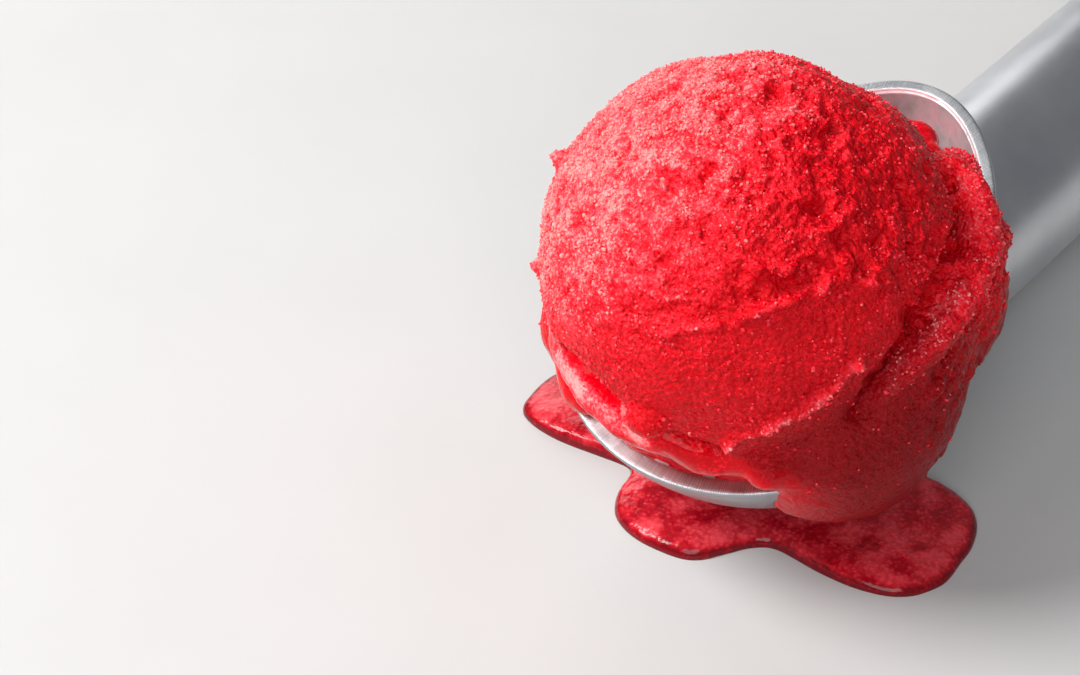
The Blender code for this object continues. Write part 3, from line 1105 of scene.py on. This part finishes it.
def above_dome_edge(mesh):
    """Which faces belong to the dome and not to what overflows round it."""
    middles = np.array([face.center for face in mesh.polygons])
    rays = unit(middles - np.array(BALL_PLACE))
    turns = np.degrees(np.arctan2(rays[:, 1], rays[:, 0]))
    azimuths, elevations = zip(*DOME_EDGE)
    return np.degrees(np.arcsin(rays[:, 2])) > np.interp(turns, azimuths, elevations)


def keep_faces(mesh, kept):
    work = bmesh.new()
    work.from_mesh(mesh)
    work.faces.ensure_lookup_table()
    gone = [work.faces[index] for index in np.flatnonzero(~kept)]
    bmesh.ops.delete(work, geom=gone, context="FACES")
    work.to_mesh(mesh)
    work.free()


class SCOOP_OT_sorbet(bpy.types.Operator):
    """Scoop the ball of sorbet with its overflow"""

    bl_idname = "sorbet_scoop.sorbet"
    bl_label = "Sorbet"

    def execute(self, context):
        dome = sorbet_skin(context)
        overflow = bpy.data.objects.new("sorbet_overflow", dome.data.copy())
        context.scene.collection.objects.link(overflow)
        on_dome = above_dome_edge(dome.data)
        keep_faces(dome.data, on_dome)
        keep_faces(overflow.data, ~on_dome)
        ice = sorbet_ice(context.scene.scoop_sorbet)
        for piece in (dome, overflow):
            if triangle_count(piece) > MOST_TRIANGLES:
                raise RuntimeError(f"{piece.name} has {triangle_count(piece)} triangles")
            piece.data.materials.append(ice)
            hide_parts("sorbet")
            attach(piece, "root")
        return {"FINISHED"}


ICOSAHEDRON_TILT = math.atan(0.5)


def grain_shape():
    """The 12 corners and 20 faces of a plain grain."""
    corners = [(0.0, 0.0, 1.0)]
    for level, turn_start in ((1, 0.0), (-1, math.pi / 5)):
        for step in range(5):
            turn = turn_start + step * 2 * math.pi / 5
            flat = math.cos(ICOSAHEDRON_TILT)
            rise = level * math.sin(ICOSAHEDRON_TILT)
            corners.append((flat * math.cos(turn), flat * math.sin(turn), rise))
    corners.append((0.0, 0.0, -1.0))
    faces = []
    for step in range(5):
        after = (step + 1) % 5
        faces.append((0, 1 + step, 1 + after))
        faces.append((11, 6 + after, 6 + step))
        faces.append((1 + step, 6 + step, 1 + after))
        faces.append((1 + after, 6 + step, 6 + after))
    return np.array(corners), np.array(faces)


class SCOOP_OT_grains(bpy.types.Operator):
    """Scatter loose grains of ice over the sorbet"""

    bl_idname = "sorbet_scoop.grains"
    bl_label = "Loose grains"

    def execute(self, context):
        settings = context.scene.scoop_sorbet
        skins = [bpy.data.objects[name].data for name in ("sorbet_ball", "sorbet_overflow")]
        places = np.vstack([mesh_places(skin) for skin in skins])
        normals = np.vstack([mesh_normals(skin) for skin in skins])
        wet = np.concatenate([stored(skin, "wet") for skin in skins])
        frost_and_sheen = np.concatenate([stored(skin, "frost_and_sheen") for skin in skins])
        shade = np.concatenate([stored(skin, "shade") for skin in skins])
        chance = np.random.default_rng(7)
        weight = (1 - wet) ** 2 * (1 - 0.9 * shade) * (0.05 + frost_and_sheen)
        weight = weight * (places[:, 2] > BOWL_MIDDLE.z - 0.012)
        weight = weight * (0.25 + smoothstep(0.0, 0.5, noise_at(places, 0.004, 31)))
        chosen = chance.choice(len(places), settings.grains, False, weight / weight.sum())
        corners, faces = grain_shape()
        count = len(chosen)
        size = settings.grain_size * np.minimum(chance.lognormal(-0.06, 0.28, (count, 1, 1)), 1.6)
        squash = chance.uniform(0.65, 1.25, (count, 1, 3))
        jitter = 1 + 0.18 * chance.standard_normal((count, 12, 1))
        turn = np.linalg.qr(chance.standard_normal((count, 3, 3)))[0]
        shapes = np.einsum("nij,nkj->nki", turn, corners * squash * jitter) * size
        lift = size[:, 0] * chance.uniform(0.05, 0.75, (count, 1))
        shapes += (places[chosen] + normals[chosen] * lift)[:, None, :]
        start = (np.arange(count) * 12)[:, None, None]
        all_faces = (faces[None] + start).reshape(-1, 3)
        piece = new_piece("ice_grains", shapes.reshape(-1, 3), all_faces.tolist(), smooth=False)
        # Each grain takes the frosty and painted-sheen value of the skin under it, a little paler to lift
        # the grains' own shading (painted light).
        own = frost_and_sheen[chosen] + 0.18 + 0.12 * chance.standard_normal(count)
        store(piece.data, "frost_and_sheen", np.repeat(np.clip(own, 0, 1), 12))
        piece.data.materials.append(grain_ice(settings))
        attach(piece, "root")
        return {"FINISHED"}


# The melted pool

PUDDLE_LOBES = (
    # direction in degrees, extra reach, half-width in degrees
    (91, 0.0195, 20),
    (172, 0.0045, 36),
    (277, 0.0200, 33),
)
PUDDLE_MIDDLE = BOWL_MIDDLE + Vector((-0.0080, 0.0030, -BOWL_MIDDLE.z))


def puddle_reach(settings, turns):
    """How far the pool goes in each direction."""
    reach = np.full(len(turns), settings.radius)
    for direction, extra, width in PUDDLE_LOBES:
        apart = np.degrees(turns) - direction
        apart = (apart + 180) % 360 - 180
        reach += extra * bell(apart, width, 4)
    return reach + 0.0003 * noise_at(circle(turns) * reach[:, None], 0.004, 41)


class SCOOP_OT_puddle(bpy.types.Operator):
    """Pour the melted pool"""

    bl_idname = "sorbet_scoop.puddle"
    bl_label = "Melted pool"

    def execute(self, context):
        settings = context.scene.scoop_puddle
        turns = full_turn(420)
        reach = puddle_reach(settings, turns)
        ways = circle(turns)[:, :2] * reach[:, None]
        edge_shares = 1 - 0.06 * np.linspace(0.9, 0, 10) ** 2
        rings = []
        for share in np.concatenate([np.linspace(0.30, 0.94, 84), edge_shares]):
            rise = settings.height * (1 - share**9) ** 0.42
            rings.append(np.column_stack([ways * share, np.full(len(turns), rise)]))
        rings.append(np.column_stack([ways * 0.992, np.zeros(len(turns))]))
        rings = [ring + np.array(PUDDLE_MIDDLE) for ring in rings[::-1]]
        places, faces = loft(rings)
        top = smoothstep(0.0006, 0.0016, places[:, 2])
        cells = cells_at(places, 0.0016, 42)
        bubbles = np.sqrt(np.clip(1 - (cells / 0.62) ** 2, 0, 1))
        froth = 0.45 + 0.55 * smoothstep(-0.4, 0.4, noise_at(places, 0.004, 43))
        lift = top * (0.00022 * noise_at(places, 0.005, 44) + 0.00016 * froth * bubbles)
        places[:, 2] += lift
        piece = new_piece("melted_pool", places, faces)
        store(piece.data, "froth", np.clip(top * (0.15 + 0.75 * froth), 0, 1))
        piece.data.materials.append(melted_ice(settings))
        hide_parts("melt_puddle")
        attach(piece, "root")
        return {"FINISHED"}


# The stage


def add_light(name, azimuth, elevation, distance, size, power, colour):
    """A soft area light that faces the ball from a direction in degrees."""
    light = bpy.data.lights.new(name, "AREA")
    light.shape = "DISK"
    light.size = size
    light.energy = power
    light.color = colour
    lamp = bpy.data.objects.new(name, light)
    bpy.context.scene.collection.objects.link(lamp)
    lamp.location = from_ball(azimuth, elevation, distance)
    aim = BALL_PLACE - lamp.location
    lamp.rotation_euler = aim.to_track_quat("-Z", "Y").to_euler()


class SCOOP_OT_stage(bpy.types.Operator):
    """Set up the floor, the soft lights and the camera"""

    bl_idname = "sorbet_scoop.stage"
    bl_label = "Stage"

    def execute(self, context):
        settings = context.scene.scoop_stage
        scene = context.scene
        floor_mesh = bpy.data.meshes.new("floor")
        corners = [(x * FLOOR_REACH, y * FLOOR_REACH, 0) for x, y in ((-1, -1), (1, -1), (1, 1), (-1, 1))]
        floor_mesh.from_pydata(corners, [], [(0, 1, 2, 3)])
        floor = bpy.data.objects.new("floor", floor_mesh)
        scene.collection.objects.link(floor)
        nodes = Nodes("pale_floor")
        tone = nodes.noise(nodes.place(), 30.0, 4.0)
        pale = settings.floor_colour
        darker_tone = tuple(0.965 * part for part in pale)
        nodes.set(Base_Color=nodes.ramp(tone, [(0.3, darker_tone), (0.7, pale)]), Roughness=0.6)
        floor_mesh.materials.append(nodes.material)
        add_light("key", 130, 46, 0.80, 0.40, settings.key_power, (1.0, 0.985, 0.97))
        add_light("edge", 52, 22, 0.90, 0.60, settings.edge_power, (1.0, 0.99, 0.98))
        add_light("fill", -152, 36, 1.10, 0.80, settings.fill_power, (0.98, 0.99, 1.0))
        world = bpy.data.worlds.new("soft_sky")
        scene.world = world
        world.use_nodes = True
        sky = world.node_tree.nodes["Background"]
        sky.inputs["Color"].default_value = (0.93, 0.96, 1.0, 1.0)
        sky.inputs["Strength"].default_value = settings.sky
        scene.view_settings.view_transform = "Standard"
        lens = bpy.data.cameras.new("camera")
        lens.lens = settings.lens
        lens.sensor_width = 36.0
        lens.clip_start = 0.01
        camera = bpy.data.objects.new("camera", lens)
        scene.collection.objects.link(camera)
        camera.location = CAMERA_PLACE
        camera.rotation_euler = CAMERA_AIM.to_track_quat("-Z", "Y").to_euler()
        scene.camera = camera
        return {"FINISHED"}


class SCOOP_PT_panel(bpy.types.Panel):
    """Lists what the add-on builds"""

    bl_label = "Sorbet Scoop"
    bl_idname = "SCOOP_PT_panel"
    bl_space_type = "VIEW_3D"
    bl_region_type = "UI"
    bl_category = "Sorbet Scoop"

    def draw(self, context):
        for operator in OPERATORS:
            self.layout.operator(operator.bl_idname)
        for name in SETTINGS:
            box = self.layout.box()
            group = getattr(context.scene, name)
            for key in group.__annotations__:
                box.prop(group, key)


OPERATORS = (SCOOP_OT_dipper, SCOOP_OT_sorbet, SCOOP_OT_grains, SCOOP_OT_puddle, SCOOP_OT_stage)
SETTINGS = {
    "scoop_dipper": DipperSettings,
    "scoop_sorbet": SorbetSettings,
    "scoop_puddle": PuddleSettings,
    "scoop_stage": StageSettings,
}


def register():
    for group in SETTINGS.values():
        bpy.utils.register_class(group)
    for name, group in SETTINGS.items():
        setattr(bpy.types.Scene, name, PointerProperty(type=group))
    for operator in OPERATORS:
        bpy.utils.register_class(operator)
    bpy.utils.register_class(SCOOP_PT_panel)


def unregister():
    bpy.utils.unregister_class(SCOOP_PT_panel)
    for operator in reversed(OPERATORS):
        bpy.utils.unregister_class(operator)
    for name, group in SETTINGS.items():
        delattr(bpy.types.Scene, name)
        bpy.utils.unregister_class(group)


def main():
    register()
    bpy.ops.sorbet_scoop.dipper()
    bpy.ops.sorbet_scoop.sorbet()
    bpy.ops.sorbet_scoop.grains()
    bpy.ops.sorbet_scoop.puddle()
    bpy.ops.sorbet_scoop.stage()


if __name__ == "__main__":
    main()
